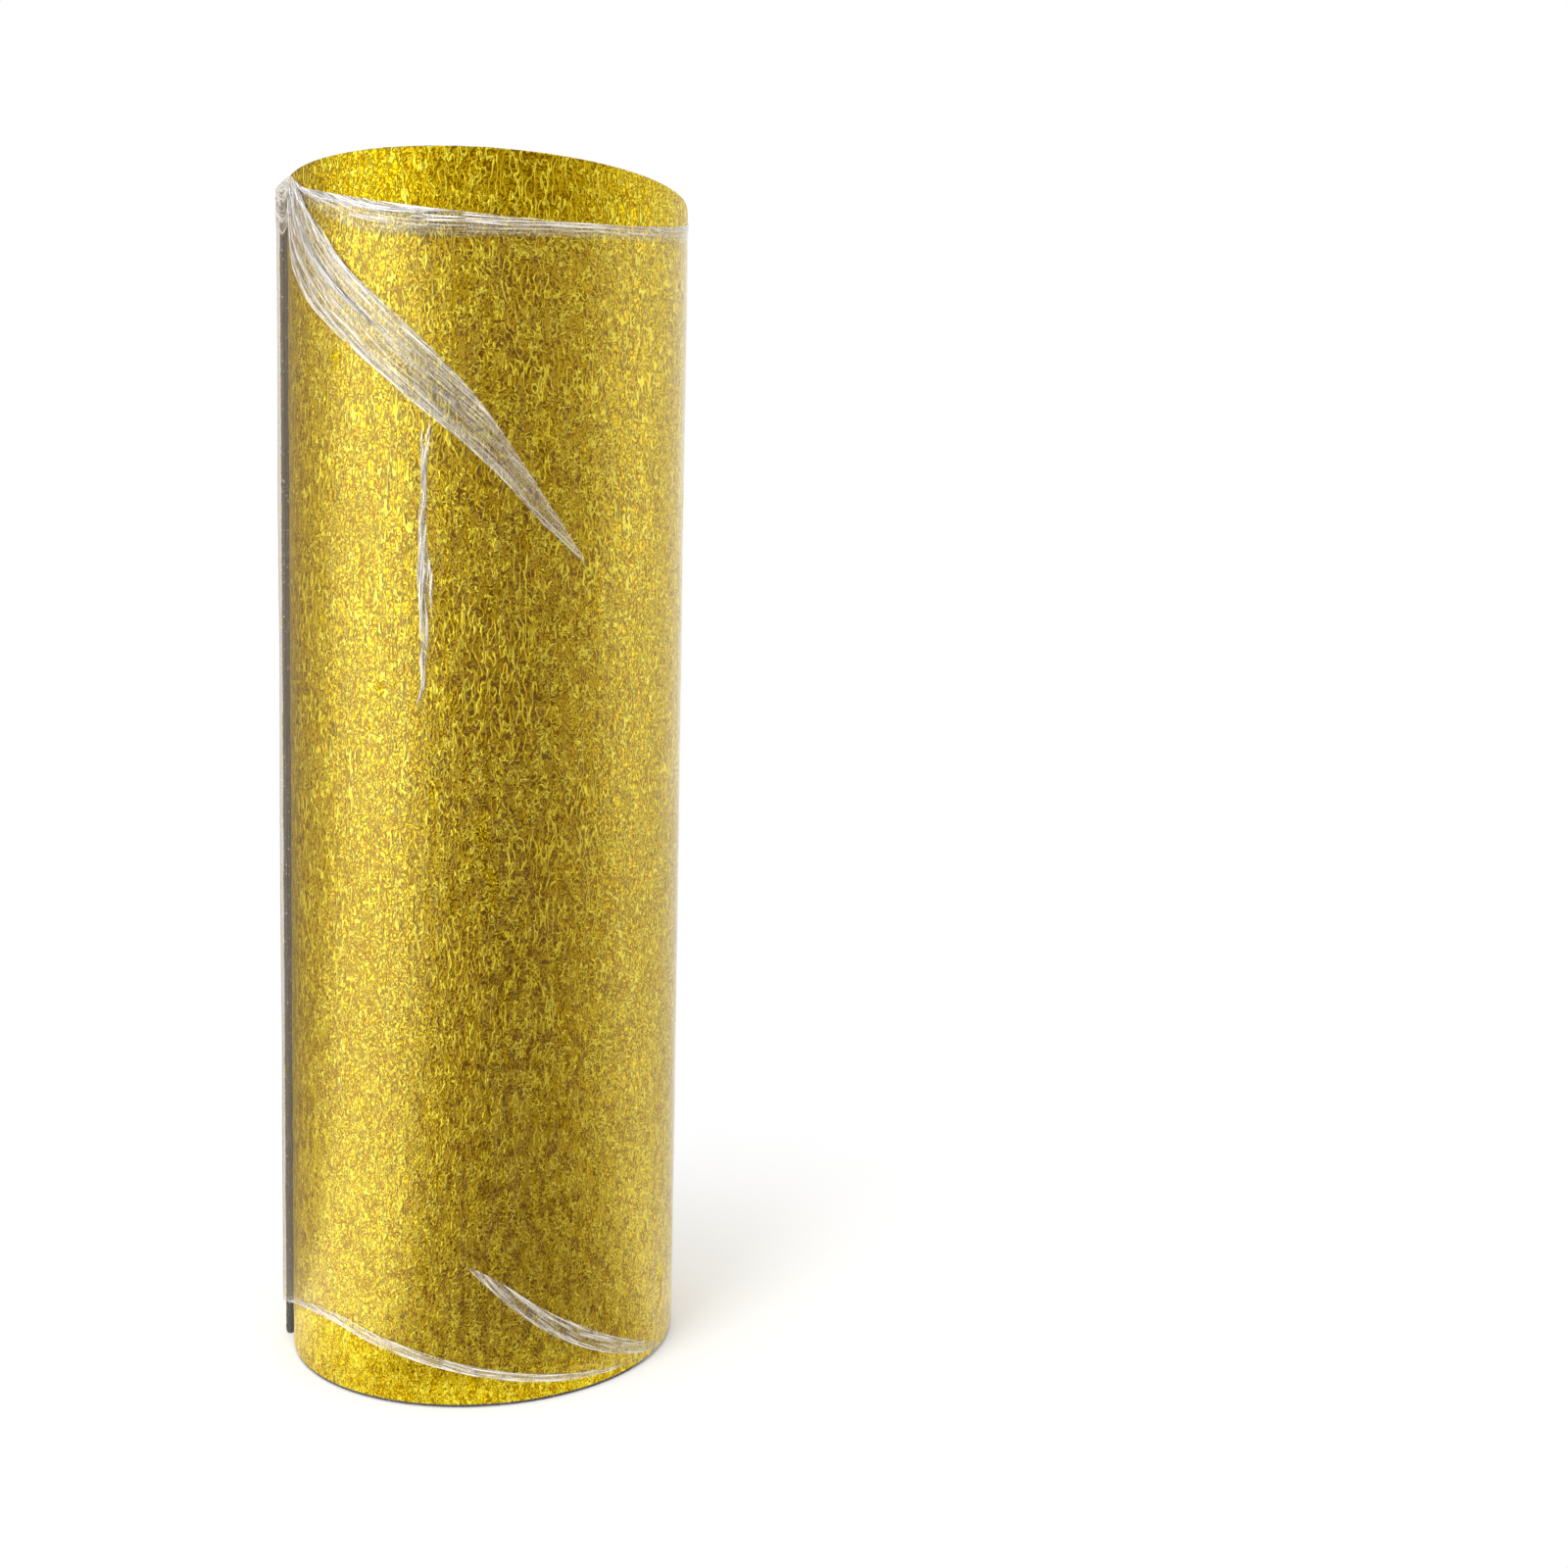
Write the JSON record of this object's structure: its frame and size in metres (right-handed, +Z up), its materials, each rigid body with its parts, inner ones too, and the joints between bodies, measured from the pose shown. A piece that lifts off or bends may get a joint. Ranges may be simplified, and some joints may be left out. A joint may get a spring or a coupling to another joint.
{
  "type": "foil-faced foam underlay roll",
  "caption": "Cylindrical roll of dark closed-cell foam sheet with a crinkled gold metallised facing, wound with an open core and bound in clear stretch film.",
  "frame": {"origin": "centre of the open core at the roll's bottom end", "axes": "+Z up along the roll's axis; the sheet's outer end lies on the -X side and its cut face looks along -Y, which is the front"},
  "size_m": [0.3664, 0.3646, 1.05],
  "materials": {
    "foam": "dark grey closed-cell foam with small bright cells and fine dark lines between turns",
    "gold_foil": "crinkled embossed gold metallised film",
    "clear_film": "glossy clear stretch film with faint creases",
    "gathered_film": "stretch film gathered into whitened streaks"
  },
  "bodies": {
    "root": {"foam_sheet": "foam", "gold_facing": "gold_foil", "film_body_wrap": "clear_film", "film_top_lap": "clear_film", "film_bottom_lap": "clear_film", "film_top_hem": "gathered_film", "film_bottom_hem": "gathered_film", "film_diagonal_band": "gathered_film", "film_end_tab": "gathered_film", "film_lower_band": "gathered_film"}
  },
  "joints": []
}
